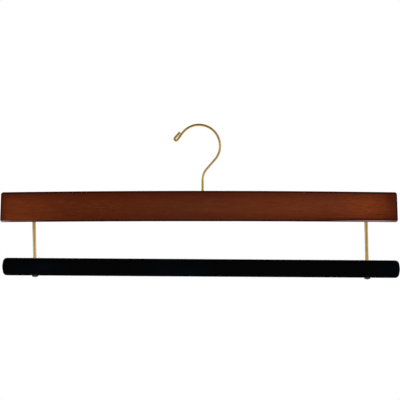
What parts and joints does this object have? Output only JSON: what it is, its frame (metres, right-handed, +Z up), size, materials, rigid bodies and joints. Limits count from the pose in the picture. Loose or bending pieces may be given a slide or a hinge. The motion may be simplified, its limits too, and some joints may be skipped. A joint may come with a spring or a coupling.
{
  "type": "non-slip hanger",
  "caption": "Trouser hanger: a flat dark wooden beam on a swivel brass wire hook, with a black flocked round bar hung below it on brass rods.",
  "frame": {"origin": "inside top of the hook, where the hanger sits on its rail", "axes": "+X along the beam to the viewer's right, with the hook open to the left; +Y away from the viewer, through the beam; +Z up"},
  "size_m": [0.5114, 0.0226, 0.1994],
  "materials": {
    "lacquered_wood": "dark walnut stain under satin lacquer",
    "bare_wood": "bare turned dowel",
    "brass": "bright brass plating on steel wire",
    "blackened_steel": "black oxide",
    "black_flock": "short black nylon flock"
  },
  "bodies": {
    "hook": {"swivel_hook": "brass", "hook_washer": "brass"},
    "hanger": {"crossbar": "lacquered_wood", "hook_ferrule": "brass", "left_rod": "brass", "right_rod": "brass", "left_washer": "blackened_steel", "right_washer": "blackened_steel", "left_nut": "blackened_steel", "right_nut": "blackened_steel", "bar_core": "bare_wood", "flocked_cover": "black_flock"}
  },
  "joints": [
    {"name": "hook_swivel", "type": "hinge", "parent": "hook", "child": "hanger", "pos_m": [0.0046, 0, -0.0829], "axis": [0, 0, 1], "continuous": true}
  ]
}
